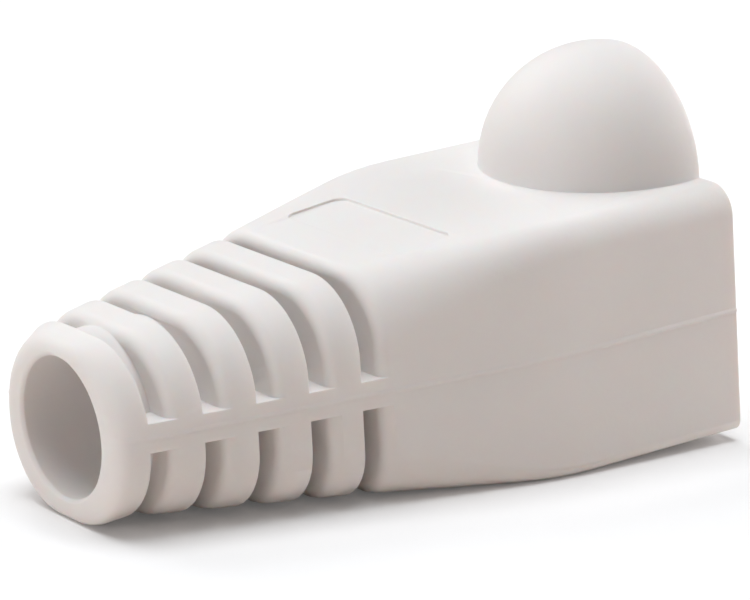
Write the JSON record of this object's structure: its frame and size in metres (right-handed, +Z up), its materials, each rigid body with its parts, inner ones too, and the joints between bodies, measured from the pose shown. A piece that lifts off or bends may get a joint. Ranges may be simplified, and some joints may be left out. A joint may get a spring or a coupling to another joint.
{
  "type": "rj45 strain relief boot",
  "caption": "Soft moulded strain relief boot for an RJ45 plug: round ribbed cable nose, tapered body, open plug end and a ball-shaped latch cover.",
  "frame": {"origin": "centre of the cable bore at the tip of the nose", "axes": "+X along the cable axis, from the nose to the plug end; +Z up through the latch cover; +Y to the side"},
  "size_m": [0.0264, 0.0138, 0.0144],
  "materials": {
    "boot_pvc": "matte"
  },
  "bodies": {
    "root": {"boot": "boot_pvc"}
  },
  "joints": []
}
